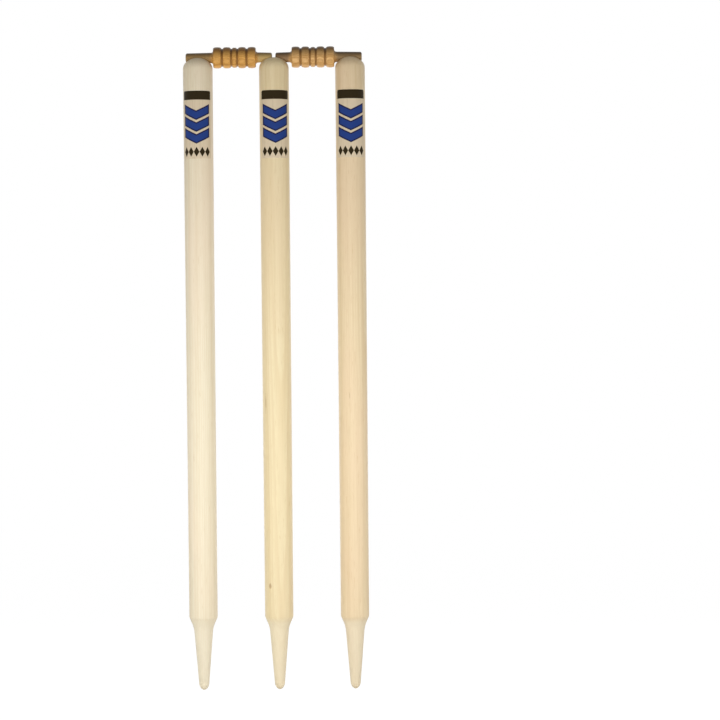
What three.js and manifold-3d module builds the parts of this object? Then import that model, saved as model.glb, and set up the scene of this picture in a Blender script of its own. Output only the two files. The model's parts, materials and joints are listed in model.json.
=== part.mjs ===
// A set of cricket stumps: three turned wooden stumps, each with a printed film label, and the two
// turned wooden bails that lie in the grooves across their tops.
//
// Millimetres, +Z up. The origin is on the middle stump's axis at ground level, where the straight
// shaft ends and the shoulder begins. The labels face -Y. The wicket runs along X, and everything
// below Z = 0 is the part of each stump that is driven into the ground.

import * as THREE from "three";
import { mergeVertices } from "three/addons/utils/BufferGeometryUtils.js";
import Module from "manifold-3d";

const wasm = await Module();
wasm.setup();

// Stump: the shaft tapers a little from the dome down to the ground.
const stumpHeight = 711.2; // ground to the crest of the dome, 28 inches
const stumpTopDiameter = 37.6;
const stumpFootDiameter = 36;
const domeHeight = 15;

// Spike: a conical shoulder, a long tapered point and a blunt tip, all turned in the same wood.
const shoulderHeight = 13;
const shoulderEdgeRound = 2;
const neckDiameter = 24.6;
const neckRound = 6;
const pointLength = 72.5;
const pointDiameter = 12.8;
const tipLength = 7.5;
const tipBluntnessShares = { radius: 0.8, length: 0.86 };

// Bail: a long spigot for the outer stump, a beaded barrel and a short spigot for the middle stump.
const barrelLength = 54; // 2 1/8 inches
const barrelDiameter = 26.8;
const centreBeadDiameter = 25.4;
const coveDiameter = 22.6;
const beadWidthShares = [0.19, 0.18, 0.105, 0.18, 0.19]; // of the barrel's length
const coveWidthShares = [0.0425, 0.035, 0.035, 0.0425]; // what is left, between the beads
const beadSquareness = 2.5; // the exponent of each bead's rounded outline; 2 would be an ellipse
const spigotRootDiameter = 13.2;
const spigotTipDiameter = 12;
const spigotTipRound = 2.2;
const spigotRootFillet = 2.8;

// How the bails sit: their length follows from the stumps they bridge.
const barrelOuterPlay = 1; // gap between the barrel and the outer stump
const barrelInnerPlay = 3.9; // gap between the barrel and the middle stump
const bailTipGap = 4.2; // between the two bails' tips, over the middle stump
const spigotInset = 3.7; // from the outer stump's far side back to the long spigot's tip
const bailProjection = 12.7; // from the crest of the dome up to the top of a barrel, half an inch
const grooveClearance = 0.3; // between a groove and the thick end of a spigot

// Label: a thin printed film, curved round the front of the shaft.
const labelWidth = 40; // measured round the shaft
const labelHeight = 85.5;
const labelDrop = 43.5; // from the crest of the dome down to the label's upper edge
const labelThickness = 0.2;
const labelGap = 0.05; // the film of glue between the label and the wood
const labelTurns = { left: -4, middle: 5.5, right: 1.5 }; // degrees from -Y towards +X

const cutterOverrun = 5;

// Facets
const stumpSegments = 40;
const bailSegments = 28;
const curveSteps = 4;
const beadSteps = 6;
const grooveSteps = 8;

// Places that follow from the sizes above
const stumpTopRadius = stumpTopDiameter / 2;
const stumpFootRadius = stumpFootDiameter / 2;
const domeBaseZ = stumpHeight - domeHeight;
const neckZ = -shoulderHeight;
const pointEndZ = neckZ - pointLength;
const tipZ = pointEndZ - tipLength;
const stumpPitch = stumpTopDiameter + barrelLength + barrelOuterPlay + barrelInnerPlay;
const longSpigotLength = stumpTopDiameter - spigotInset + barrelOuterPlay; // 34.9, 1 3/8 inches
const shortSpigotLength = stumpTopRadius + barrelInnerPlay - bailTipGap / 2; // 20.6, 13/16 inch
const bailLength = longSpigotLength + barrelLength + shortSpigotLength; // 109.5, 4 5/16 inches
const bailAxisZ = stumpHeight + bailProjection - barrelDiameter / 2;
const grooveRadius = spigotRootDiameter / 2 + grooveClearance;

const paleWood = { roughness: 0.55, metalness: 0 };
const materials = {
  creamWood: new THREE.MeshStandardMaterial({ color: 0xf0e2c4, ...paleWood }),
  yellowWood: new THREE.MeshStandardMaterial({ color: 0xeedbae, ...paleWood }),
  pinkWood: new THREE.MeshStandardMaterial({ color: 0xe9d2ab, ...paleWood }),
  bailWood: new THREE.MeshStandardMaterial({ color: 0xba8243, roughness: 0.4, metalness: 0 }),
  film: new THREE.MeshStandardMaterial({ color: 0xe6d6ba, roughness: 0.35, metalness: 0 }),
};

// Half the shaft's thickness at a height above the ground.
function shaftRadiusAt(z) {
  return THREE.MathUtils.mapLinear(z, 0, domeBaseZ, stumpFootRadius, stumpTopRadius);
}

// A closed mesh as a solid that can be cut and joined.
function solidFrom(geometry) {
  const bare = geometry.clone();
  bare.deleteAttribute("normal");
  bare.deleteAttribute("uv");
  const merged = mergeVertices(bare);
  return new wasm.Manifold(
    new wasm.Mesh({
      numProp: 3,
      vertProperties: merged.attributes.position.array,
      triVerts: new Uint32Array(merged.index.array),
    }),
  );
}

// A solid as geometry that a mesh can show.
function geometryFrom(solid) {
  const { vertProperties, triVerts } = solid.getMesh();
  const geometry = new THREE.BufferGeometry();
  geometry.setAttribute("position", new THREE.BufferAttribute(vertProperties, 3));
  geometry.setIndex(new THREE.BufferAttribute(triVerts, 1));
  geometry.computeVertexNormals();
  return geometry;
}

// Turns a profile of (radius, height) points round the Z axis.
function turned(profile, segments) {
  return new THREE.LatheGeometry(profile, segments).rotateX(Math.PI / 2);
}

// The stump's outline from the tip of its point up to the crest of its dome.
function stumpProfile() {
  const neckRadius = neckDiameter / 2;
  const pointRadius = pointDiameter / 2;
  const neck = new THREE.Vector2(neckRadius, neckZ);
  const foot = new THREE.Vector2(stumpFootRadius, 0);
  const pointEnd = new THREE.Vector2(pointRadius, pointEndZ);
  const domeBase = new THREE.Vector2(stumpTopRadius, domeBaseZ);
  const outline = new THREE.Path();
  outline.moveTo(0, tipZ);
  outline.quadraticCurveTo(
    pointRadius * tipBluntnessShares.radius,
    pointEndZ - tipLength * tipBluntnessShares.length,
    pointEnd.x,
    pointEnd.y,
  );
  roundedCorner(outline, pointEnd, neck, foot, neckRound);
  roundedCorner(outline, neck, foot, domeBase, shoulderEdgeRound);
  outline.lineTo(domeBase.x, domeBase.y);
  outline.absellipse(0, domeBaseZ, stumpTopRadius, domeHeight, 0, Math.PI / 2, false, 0);
  return onAxisAtEnds(outline.getPoints(curveSteps));
}

// Runs an outline on towards a corner, and rounds it off on the way to the next point.
function roundedCorner(outline, from, corner, to, size) {
  const before = corner.clone().add(from.clone().sub(corner).setLength(size));
  const after = corner.clone().add(to.clone().sub(corner).setLength(size));
  outline.lineTo(before.x, before.y);
  outline.quadraticCurveTo(corner.x, corner.y, after.x, after.y);
}

// Puts both ends of a profile exactly on the axis, so that the turned shape closes.
function onAxisAtEnds(points) {
  points[0].x = 0;
  points[points.length - 1].x = 0;
  return points;
}

// The U-shaped channel for the bails' spigots, cut right across the stump along X.
function grooveCutter() {
  const channel = new THREE.Shape();
  const mouthZ = stumpHeight + cutterOverrun;
  channel.moveTo(grooveRadius, mouthZ);
  channel.lineTo(-grooveRadius, mouthZ);
  channel.lineTo(-grooveRadius, bailAxisZ);
  channel.absarc(0, bailAxisZ, grooveRadius, Math.PI, 2 * Math.PI, false);
  channel.closePath();
  const length = stumpTopDiameter + 2 * cutterOverrun;
  const cutter = new THREE.ExtrudeGeometry(channel, {
    depth: length,
    bevelEnabled: false,
    curveSegments: grooveSteps,
  });
  cutter.translate(0, 0, -length / 2);
  cutter.rotateX(Math.PI / 2);
  cutter.rotateZ(Math.PI / 2);
  return cutter;
}

function stumpGeometry() {
  const body = solidFrom(turned(stumpProfile(), stumpSegments));
  return geometryFrom(body.subtract(solidFrom(grooveCutter())));
}

// One bead of the barrel as (radius, distance along the bail) points, from cove to cove.
function beadPoints(start, width, beadRadius) {
  const coveRadius = coveDiameter / 2;
  const points = [];
  for (let step = 0; step <= beadSteps; step += 1) {
    const turn = -Math.cos((Math.PI * step) / beadSteps);
    const rise = (1 - Math.abs(turn) ** beadSquareness) ** (1 / beadSquareness);
    const radius = THREE.MathUtils.lerp(coveRadius, beadRadius, rise);
    points.push(new THREE.Vector2(radius, start + (width * (1 + turn)) / 2));
  }
  return points;
}

// The beads side by side along the barrel, with a narrow cove between each pair.
function barrelPoints() {
  const centreBead = (beadWidthShares.length - 1) / 2;
  let start = longSpigotLength;
  return beadWidthShares.flatMap((share, index) => {
    const diameter = index === centreBead ? centreBeadDiameter : barrelDiameter;
    const points = beadPoints(start, barrelLength * share, diameter / 2);
    start += barrelLength * (share + (coveWidthShares[index] ?? 0));
    return points;
  });
}

// Half of a spigot's outline: a rounded tip at the start and a filleted root against the barrel.
function spigotPoints(length) {
  const tipRadius = spigotTipDiameter / 2;
  const rootRadius = spigotRootDiameter / 2;
  const outline = new THREE.Path();
  outline.moveTo(0, 0);
  outline.lineTo(tipRadius - spigotTipRound, 0);
  outline.quadraticCurveTo(tipRadius, 0, tipRadius, spigotTipRound);
  outline.lineTo(rootRadius, length - spigotRootFillet);
  outline.quadraticCurveTo(rootRadius, length, rootRadius + spigotRootFillet, length);
  return outline.getPoints(curveSteps);
}

// The bail's whole outline, from the long spigot's tip to the short spigot's tip.
function bailProfile() {
  const shortSpigot = spigotPoints(shortSpigotLength)
    .map((point) => new THREE.Vector2(point.x, bailLength - point.y))
    .reverse();
  return [...spigotPoints(longSpigotLength), ...barrelPoints(), ...shortSpigot];
}

// A bail lying along X, with its long spigot's tip at X = 0.
function bailGeometry() {
  return turned(bailProfile(), bailSegments).rotateY(Math.PI / 2);
}

// A film that follows the shaft's taper: a thin turned sleeve, of which a wedge at the front stays.
// The wedge is turned by some degrees, because the labels aren't stuck on exactly alike.
function labelGeometry(turnDegrees) {
  const upperZ = stumpHeight - labelDrop;
  const lowerZ = upperZ - labelHeight;
  const inner = (z) => new THREE.Vector2(shaftRadiusAt(z) + labelGap, z);
  const outer = (z) => new THREE.Vector2(shaftRadiusAt(z) + labelGap + labelThickness, z);
  const section = [inner(lowerZ), outer(lowerZ), outer(upperZ), inner(upperZ), inner(lowerZ)];
  const sleeve = solidFrom(turned(section, stumpSegments));

  const halfAngle = labelWidth / (shaftRadiusAt(upperZ) + shaftRadiusAt(lowerZ));
  const middleAngle = THREE.MathUtils.degToRad(turnDegrees) - Math.PI / 2;
  const startAngle = middleAngle - halfAngle;
  const reach = stumpTopDiameter + cutterOverrun;
  const front = new THREE.Shape();
  front.moveTo(0, 0);
  front.lineTo(reach * Math.cos(startAngle), reach * Math.sin(startAngle));
  front.absarc(0, 0, reach, startAngle, middleAngle + halfAngle, false);
  front.closePath();
  const wedge = new THREE.ExtrudeGeometry(front, {
    depth: labelHeight + 2 * cutterOverrun,
    bevelEnabled: false,
    curveSegments: grooveSteps,
  }).translate(0, 0, lowerZ - cutterOverrun);
  return geometryFrom(sleeve.intersect(solidFrom(wedge)));
}

function namedMesh(name, geometry, material) {
  const mesh = new THREE.Mesh(geometry, material);
  mesh.name = name;
  return mesh;
}

// One stump with its label, as a group that stands at its place along the wicket.
function labelledStump(side, x, wood) {
  const group = new THREE.Group();
  group.position.x = x;
  group.add(namedMesh(`${side}_stump`, stumpGeometry(), wood));
  group.add(namedMesh(`${side}_stump_label`, labelGeometry(labelTurns[side]), materials.film));
  return group;
}

// One bail in its grooves. The right one is the same piece as the left, turned end for end.
function seatedBail(side, direction) {
  const bail = namedMesh(`${side}_bail`, bailGeometry(), materials.bailWood);
  bail.position.x = direction * (bailTipGap / 2 + bailLength);
  bail.position.z = bailAxisZ;
  bail.rotation.z = direction > 0 ? Math.PI : 0;
  return bail;
}

const wicket = new THREE.Group();
wicket.add(labelledStump("left", -stumpPitch, materials.creamWood));
wicket.add(labelledStump("middle", 0, materials.yellowWood));
wicket.add(labelledStump("right", stumpPitch, materials.pinkWood));
wicket.add(seatedBail("left", -1));
wicket.add(seatedBail("right", 1));

export default wicket;
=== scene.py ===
"""A full-size cricket wicket: three turned ash stumps with printed labels, and two turned bails.

Lengths are in metres and in the part's own frame. +Z is up, the wicket runs along X, the labels
face -Y, and Z = 0 is ground level, where the straight shaft of each stump ends.
"""

import json
import logging
import math
from collections.abc import Sequence
from dataclasses import dataclass, field
from enum import Enum
from functools import reduce

import bmesh
import bpy
from mathutils import Euler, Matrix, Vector

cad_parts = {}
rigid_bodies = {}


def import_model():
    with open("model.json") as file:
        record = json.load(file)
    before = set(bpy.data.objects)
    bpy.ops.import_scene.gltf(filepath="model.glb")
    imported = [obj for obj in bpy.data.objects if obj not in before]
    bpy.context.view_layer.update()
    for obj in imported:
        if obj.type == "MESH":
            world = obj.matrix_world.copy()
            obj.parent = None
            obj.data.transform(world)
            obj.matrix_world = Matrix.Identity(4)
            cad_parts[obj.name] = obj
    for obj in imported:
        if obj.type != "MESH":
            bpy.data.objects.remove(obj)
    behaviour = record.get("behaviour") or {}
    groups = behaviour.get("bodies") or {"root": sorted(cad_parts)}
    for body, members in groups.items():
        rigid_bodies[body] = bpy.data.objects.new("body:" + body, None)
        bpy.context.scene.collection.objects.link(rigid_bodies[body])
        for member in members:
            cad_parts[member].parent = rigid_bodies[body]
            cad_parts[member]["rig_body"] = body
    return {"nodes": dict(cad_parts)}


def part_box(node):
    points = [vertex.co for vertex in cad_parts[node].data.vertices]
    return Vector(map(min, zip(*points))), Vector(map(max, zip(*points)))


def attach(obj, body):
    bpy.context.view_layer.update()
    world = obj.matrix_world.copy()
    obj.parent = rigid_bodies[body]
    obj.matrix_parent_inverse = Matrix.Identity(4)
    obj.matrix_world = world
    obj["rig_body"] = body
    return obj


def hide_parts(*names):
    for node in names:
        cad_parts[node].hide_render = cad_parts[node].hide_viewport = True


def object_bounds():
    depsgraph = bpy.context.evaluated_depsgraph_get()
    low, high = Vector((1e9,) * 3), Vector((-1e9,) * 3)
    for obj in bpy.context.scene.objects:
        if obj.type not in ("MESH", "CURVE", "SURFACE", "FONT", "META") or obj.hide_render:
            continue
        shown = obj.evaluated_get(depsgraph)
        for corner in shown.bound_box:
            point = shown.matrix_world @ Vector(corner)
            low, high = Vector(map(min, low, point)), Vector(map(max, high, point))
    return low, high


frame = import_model()
CAD_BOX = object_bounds()

LOG = logging.getLogger("wicket")

MM = 0.001
WELD = 0.001 * MM  # points closer than this are one
PRINT_MAP = "print"  # the labels' own map

Colour = tuple[float, float, float]
Point = tuple[float, float, float]
Flat = tuple[float, float]
Socket = bpy.types.NodeSocket
Value = float | Socket


class Side(Enum):
    """A place along the wicket, seen from the side that the labels face."""

    LEFT = "left"
    MIDDLE = "middle"
    RIGHT = "right"

    @property
    def stump(self) -> str:
        """The name of the stump that stands there."""
        return f"{self.value}_stump"

    @property
    def bail(self) -> str:
        """The name of the bail whose long spigot lies there."""
        return f"{self.value}_bail"


class NodeBench:
    """A node tree under construction, with short ways to add nodes and join them."""

    def __init__(self, tree: bpy.types.NodeTree) -> None:
        """Starts work on a tree."""
        self.tree = tree

    def add(self, kind: str, *sources: object, **settings: object) -> bpy.types.Node:
        """Adds one node.

        Args:
            kind: the node's type.
            sources: what its first inputs take, in order.
            settings: the properties to set on it.

        Returns:
            The new node.
        """
        node = self.tree.nodes.new(kind)
        for name, value in settings.items():
            setattr(node, name, value)
        for socket, source in zip(node.inputs, sources):
            self.feed(socket, source)
        return node

    def feed(self, socket: Socket, source: object) -> None:
        """Joins an input to another node's output, or sets its value.

        Args:
            socket: the input.
            source: an output socket, or a plain value.
        """
        if isinstance(source, bpy.types.NodeSocket):
            self.tree.links.new(source, socket)
        else:
            socket.default_value = source

    def wire(self, node: bpy.types.Node, **sources: object) -> bpy.types.Node:
        """Feeds a node's inputs by name.

        Args:
            node: the node.
            sources: what the inputs take, each name with an underscore for a space.

        Returns:
            The same node.
        """
        for name, source in sources.items():
            self.feed(node.inputs[name.replace("_", " ")], source)
        return node

    def math(self, operation: str, *terms: Value) -> Socket:
        """Adds one step of arithmetic and gives its result."""
        return self.add("ShaderNodeMath", *terms, operation=operation).outputs[0]

    def fold(self, operation: str, terms: Sequence[Value]) -> Socket:
        """Runs one two-input operation through a row of terms."""
        return reduce(lambda result, term: self.math(operation, result, term), terms)

    def fade(self, value: Value, start: Value, end: Value) -> Socket:
        """Rises smoothly from 0, where the value is at its start, to 1, where it is at its end."""
        ramp = self.add("ShaderNodeMapRange", interpolation_type="SMOOTHSTEP")
        return self.wire(ramp, Value=value, From_Min=start, From_Max=end).outputs["Result"]

    def backdrop_ray(self) -> Socket:
        """Gives 1 for a ray that shows the backdrop: seen plainly, in a gloss or through glass."""
        rays = self.add("ShaderNodeLightPath").outputs
        return self.fold(
            "MAXIMUM",
            [rays[kind] for kind in ("Is Camera Ray", "Is Glossy Ray", "Is Transmission Ray")],
        )


class Coating(NodeBench):
    """A material under construction."""

    def __init__(self, name: str) -> None:
        """Starts an empty material.

        Args:
            name: the material's name.
        """
        self.material = bpy.data.materials.new(name)
        self.material.use_nodes = True
        super().__init__(self.material.node_tree)
        self.tree.nodes.clear()

    def place(self, centre: Point) -> Socket:
        """Gives the point on the piece, counted from a centre."""
        return self.vector("SUBTRACT", self.add("ShaderNodeTexCoord").outputs["Object"], centre)

    def vector(self, operation: str, *terms: object) -> Socket:
        """Adds one step of vector arithmetic and gives its result."""
        return self.add("ShaderNodeVectorMath", *terms, operation=operation).outputs["Vector"]

    def length(self, vector: Socket) -> Socket:
        """Measures a vector."""
        return self.add("ShaderNodeVectorMath", vector, operation="LENGTH").outputs["Value"]

    def split(self, vector: Socket) -> tuple[Socket, Socket, Socket]:
        """Parts a vector into its three numbers."""
        return tuple(self.add("ShaderNodeSeparateXYZ", vector).outputs)

    def join(self, x: Value, y: Value, z: Value) -> Socket:
        """Makes a vector of three numbers."""
        return self.add("ShaderNodeCombineXYZ", x, y, z).outputs[0]

    def noise(self, place: Socket, grain: Point, detail: float, seed: float) -> bpy.types.Node:
        """Adds noise with so many blobs to a metre along each axis, moved by its seed."""
        moved = self.vector("ADD", self.vector("MULTIPLY", place, grain), (seed, seed, seed))
        return self.wire(self.add("ShaderNodeTexNoise"), Vector=moved, Scale=1.0, Detail=detail)

    def tint(self, factor: Value, first: object, second: object, blend: str = "MIX") -> Socket:
        """Mixes two colours.

        Args:
            factor: how much of the second colour shows.
            first: a colour, or an output socket.
            second: a colour, or an output socket.
            blend: how the second colour is laid on.

        Returns:
            The mixed colour.
        """
        node = self.add("ShaderNodeMix", factor, data_type="RGBA", blend_type=blend)
        sockets = [socket for socket in node.inputs if socket.type == "RGBA"]
        for socket, source in zip(sockets, (first, second)):
            self.feed(socket, source if isinstance(source, bpy.types.NodeSocket) else (*source, 1.0))
        return next(socket for socket in node.outputs if socket.type == "RGBA")

    def relief(self, height: Socket, depth: float) -> Socket:
        """Turns a pattern from 0 to 1 into a bumped normal of some depth."""
        return self.wire(self.add("ShaderNodeBump"), Distance=depth, Height=height).outputs["Normal"]

    def matte(self, brightness: float) -> Socket:
        """Adds a grey matte shader."""
        return self.add("ShaderNodeBsdfDiffuse", (brightness, brightness, brightness, 1.0)).outputs[0]

    def glow(self, strength: float) -> Socket:
        """Adds a white glow."""
        return self.wire(self.add("ShaderNodeEmission"), Strength=strength).outputs[0]

    def mix(self, factor: Value, first: Socket, second: Socket) -> Socket:
        """Mixes two shaders."""
        return self.add("ShaderNodeMixShader", factor, first, second).outputs[0]

    def finish(self, **inputs: object) -> bpy.types.Material:
        """Adds the principled shader and the output.

        Args:
            inputs: the shader's inputs, with an underscore for each space.

        Returns:
            The finished material.
        """
        shader = self.wire(self.add("ShaderNodeBsdfPrincipled"), **inputs)
        self.add("ShaderNodeOutputMaterial", shader.outputs[0])
        return self.material


@dataclass(frozen=True)
class Layer:
    """One pattern in the wood, stretched along its fibres, which tints what lies under it."""

    grain: Point  # blobs in a metre along X, Y and Z
    seed: float  # added to the finish's own
    shows: Flat  # the pattern's values where the tint starts and where it is whole
    tint: Colour
    detail: float = 2.0
    blend: str = "MULTIPLY"


@dataclass(frozen=True, kw_only=True)
class WoodFinish:
    """What every wood here shares: growth rings, layers of grain and short open pores."""

    name: str
    pale: Colour  # the open wood at the start of each year's ring
    late: Colour  # the denser wood at its end
    seed: float
    ring_pitch: float
    ring_rise_shares: Flat = (0.1, 0.85)  # of a year's growth, from pale wood to late
    ring_end_share: float  # of a year's growth, from which its late wood fades out
    ring_contrast: float = 0.55
    ring_sway: float = 5.0 * MM
    sway_grain: Point
    sway_seed: float
    pore_grain: Point
    pore_seed: float
    pore_shows: Flat = (0.6, 0.7)
    pore_strength: float
    pore_depth: float  # beside the height of the fibre, which is 1
    roughness: float
    rough_swing: float
    relief: float
    specular: float
    lacquer: float
    lacquer_roughness: float

    def layers(self) -> tuple[Layer, ...]:
        """Gives the patterns over the rings. The last one is the fibre."""
        return ()

    def rings(self, coat: Coating, distance: Socket) -> Socket:
        """Draws the growth rings.

        Args:
            coat: the material.
            distance: the distance from the heart of the tree.

        Returns:
            0 in each year's pale wood, rising to 1 in its late wood.
        """
        year = coat.math("FRACT", coat.math("DIVIDE", distance, self.ring_pitch))
        rise = coat.fade(year, *self.ring_rise_shares)
        return coat.math("MULTIPLY", rise, coat.fade(year, 1.0, self.ring_end_share))

    def sway(self, coat: Coating, place: Socket) -> bpy.types.Node:
        """Adds the slow noise that makes the rings wander."""
        return coat.noise(place, self.sway_grain, 2.0, self.seed + self.sway_seed)

    def grained(self, coat: Coating, place: Socket, ring: Socket) -> tuple[Socket, Socket]:
        """Colours the wood.

        Args:
            coat: the material.
            place: the point on the piece.
            ring: the growth rings.

        Returns:
            The colour, and the pattern of the fibres.
        """
        colour = coat.tint(coat.math("MULTIPLY", ring, self.ring_contrast), self.pale, self.late)
        for layer in self.layers():
            pattern = coat.noise(place, layer.grain, layer.detail, self.seed + layer.seed).outputs[0]
            colour = coat.tint(coat.fade(pattern, *layer.shows), colour, layer.tint, layer.blend)
        return colour, pattern

    def pores(self, coat: Coating, place: Socket) -> Socket:
        """Draws the short open pores."""
        dashes = coat.noise(place, self.pore_grain, 1.0, self.seed + self.pore_seed).outputs[0]
        return coat.fade(dashes, *self.pore_shows)

    def rough(self, coat: Coating, fibre: Socket) -> Socket:
        """Lets the roughness swing with the fibres."""
        smoothest = self.roughness - self.rough_swing / 2.0
        return coat.math("MULTIPLY_ADD", fibre, self.rough_swing, smoothest)

    def lacquered(
        self, coat: Coating, colour: Socket, rough: Socket, raised: Socket, pores: Socket
    ) -> bpy.types.Material:
        """Ends the material in the wood's lacquered surface.

        Args:
            coat: the material.
            colour: the wood's colour.
            rough: its roughness.
            raised: the pattern that stands up from it.
            pores: the pores that are sunk into it.

        Returns:
            The finished material.
        """
        height = coat.math("SUBTRACT", raised, coat.math("MULTIPLY", pores, self.pore_depth))
        return coat.finish(
            Base_Color=colour,
            Roughness=rough,
            Normal=coat.relief(height, self.relief),
            Specular_IOR_Level=self.specular,
            Coat_Weight=self.lacquer,
            Coat_Roughness=self.lacquer_roughness,
        )


@dataclass(frozen=True)
class Fleck:
    """A small brown mark in the wood, such as a pin knot or a mineral streak."""

    place: Point  # from the stump's axis at ground level
    size: Point
    strength: float


@dataclass(frozen=True, kw_only=True)
class AshFinish(WoodFinish):
    """Sanded ash under a thin satin lacquer, cut from a plank whose heart lies beside the stump."""

    blush: Colour  # the slow drift in tone along the blank
    heart: Flat  # from the stump's axis to the middle of the tree
    lean: Flat  # how far that moves over a metre of height
    flecks: tuple[Fleck, ...] = ()
    fleck_colour: Colour = (0.36, 0.2, 0.08)
    fleck_edge: Flat = (1.0, 0.25)
    fleck_grain: Point = (420.0, 420.0, 160.0)
    fleck_raggedness: float = 0.9
    end_shade: Colour = (0.88, 0.83, 0.74)  # where the fibres are cut across
    end_slope: Flat = (0.2, 0.95)
    end_strength: float = 0.5
    end_rough: float = 0.1
    worn: Colour = (0.96, 0.945, 0.93)  # painted shade: the head is a little darker
    head_fade: Flat = (640.0 * MM, 700.0 * MM)
    bare: Colour = (0.8, 0.72, 0.55)  # the spike is not lacquered; the tone also starts on the shoulder as painted light against its shade
    bare_share: float = 0.5
    spike_fade: Flat = (2.0 * MM, -9.0 * MM)
    ring_pitch: float = 2.6 * MM
    ring_end_share: float = 0.9
    sway_grain: Point = (26.0, 26.0, 3.2)
    sway_seed: float = 41.0
    open_ring: Flat = (0.5, 0.1)  # the pores lie in the pale wood
    pore_grain: Point = (2300.0, 2300.0, 75.0)
    pore_seed: float = 57.0
    pore_strength: float = 0.4
    pore_depth: float = 0.8
    roughness: float = 0.46
    rough_swing: float = 0.12
    relief: float = 0.06 * MM
    specular: float = 0.35
    lacquer: float = 0.07
    lacquer_roughness: float = 0.32
    mark_pitch: float = 0.9 * MM  # the fine rings that the turning tool leaves on the spike
    mark_depth: float = 0.35
    mark_fade: Flat = (0.0, -4.0 * MM)

    def layers(self) -> tuple[Layer, ...]:
        """Gives the drifting tone, the streaks and the fibre, which run up the stump."""
        return (
            Layer((22.0, 22.0, 4.5), 23.0, (0.42, 0.78), self.blush, blend="MIX"),
            Layer((170.0, 170.0, 2.4), 11.0, (0.35, 0.85), (0.93, 0.9, 0.84), detail=3.0),
            Layer((1500.0, 1500.0, 26.0), 0.0, (0.35, 0.9), (0.94, 0.92, 0.87), detail=3.0),
        )

    def material(self, axis_x: float) -> bpy.types.Material:
        """Builds the finish for a stump.

        Args:
            axis_x: where the stump's axis stands along X.

        Returns:
            The material.
        """
        coat = Coating(self.name)
        place = coat.place((axis_x, 0.0, 0.0))
        _, _, z = coat.split(place)
        ring = self.rings(coat, self._from_heart(coat, place))
        colour, fibre = self.grained(coat, place, ring)
        pores = coat.math("MULTIPLY", self.pores(coat, place), coat.fade(ring, *self.open_ring))
        end_grain = self._end_grain(coat)

        in_pores = coat.math("MULTIPLY", pores, self.pore_strength)
        colour = coat.tint(in_pores, colour, self.late, "MULTIPLY")
        across_fibres = coat.math("MULTIPLY", end_grain, self.end_strength)
        colour = coat.tint(across_fibres, colour, self.end_shade, "MULTIPLY")
        for fleck in self.flecks:
            colour = coat.tint(self._fleck_mask(coat, place, fleck), colour, self.fleck_colour)
        # painted shade towards the head of the stump
        colour = coat.tint(coat.fade(z, *self.head_fade), colour, self.worn, "MULTIPLY")
        # the unlacquered spike's tone, whose start on the shoulder is painted light against the
        # shoulder's shade
        spike = coat.math("MULTIPLY", coat.fade(z, *self.spike_fade), self.bare_share)
        colour = coat.tint(spike, colour, self.bare)

        rough = coat.math("MULTIPLY_ADD", end_grain, self.end_rough, self.rough(coat, fibre))
        raised = coat.math("ADD", fibre, self._turning_marks(coat, z))
        return self.lacquered(coat, colour, rough, raised, pores)

    def _from_heart(self, coat: Coating, place: Socket) -> Socket:
        """Measures the distance from the heart of the tree, which leans and sways.

        Args:
            coat: the material.
            place: the point on the stump.

        Returns:
            The distance, level with the ground.
        """
        x, y, z = coat.split(place)
        sway = coat.split(self.sway(coat, place).outputs["Color"])
        across = []
        for number, drift, heart, lean in zip((x, y), sway, self.heart, self.lean):
            swayed = coat.math("MULTIPLY_ADD", drift, self.ring_sway, number)
            leaned = coat.math("MULTIPLY_ADD", z, -lean, swayed)
            across.append(coat.math("SUBTRACT", leaned, heart))
        return coat.length(coat.join(*across, 0.0))

    def _end_grain(self, coat: Coating) -> Socket:
        """Finds where the wood is cut across its fibres, as it is on the dome and the shoulder."""
        upright = coat.split(coat.add("ShaderNodeTexCoord").outputs["Normal"])[2]
        return coat.fade(coat.math("ABSOLUTE", upright), *self.end_slope)

    def _fleck_mask(self, coat: Coating, place: Socket, fleck: Fleck) -> Socket:
        """Draws one fleck as a ragged oval.

        Args:
            coat: the material.
            place: the point on the stump.
            fleck: where the fleck lies, and its size.

        Returns:
            The fleck's strength in its middle, fading to 0.
        """
        ratio = coat.vector("DIVIDE", coat.vector("SUBTRACT", place, fleck.place), fleck.size)
        noise = coat.noise(place, self.fleck_grain, 2.0, self.seed).outputs[0]
        ragged = coat.math("MULTIPLY_ADD", noise, self.fleck_raggedness, -self.fleck_raggedness / 2.0)
        distance = coat.math("ADD", coat.length(ratio), ragged)
        return coat.math("MULTIPLY", coat.fade(distance, *self.fleck_edge), fleck.strength)

    def _turning_marks(self, coat: Coating, z: Socket) -> Socket:
        """Draws the turning tool's fine rings round the spike, below ground level.

        Args:
            coat: the material.
            z: the height above ground.

        Returns:
            A wave along the spike, which fades out at its shoulder.
        """
        wave = coat.math("SINE", coat.math("MULTIPLY", z, 2.0 * math.pi / self.mark_pitch))
        depth = coat.math("MULTIPLY", coat.fade(z, *self.mark_fade), self.mark_depth)
        return coat.math("MULTIPLY", wave, depth)


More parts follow.
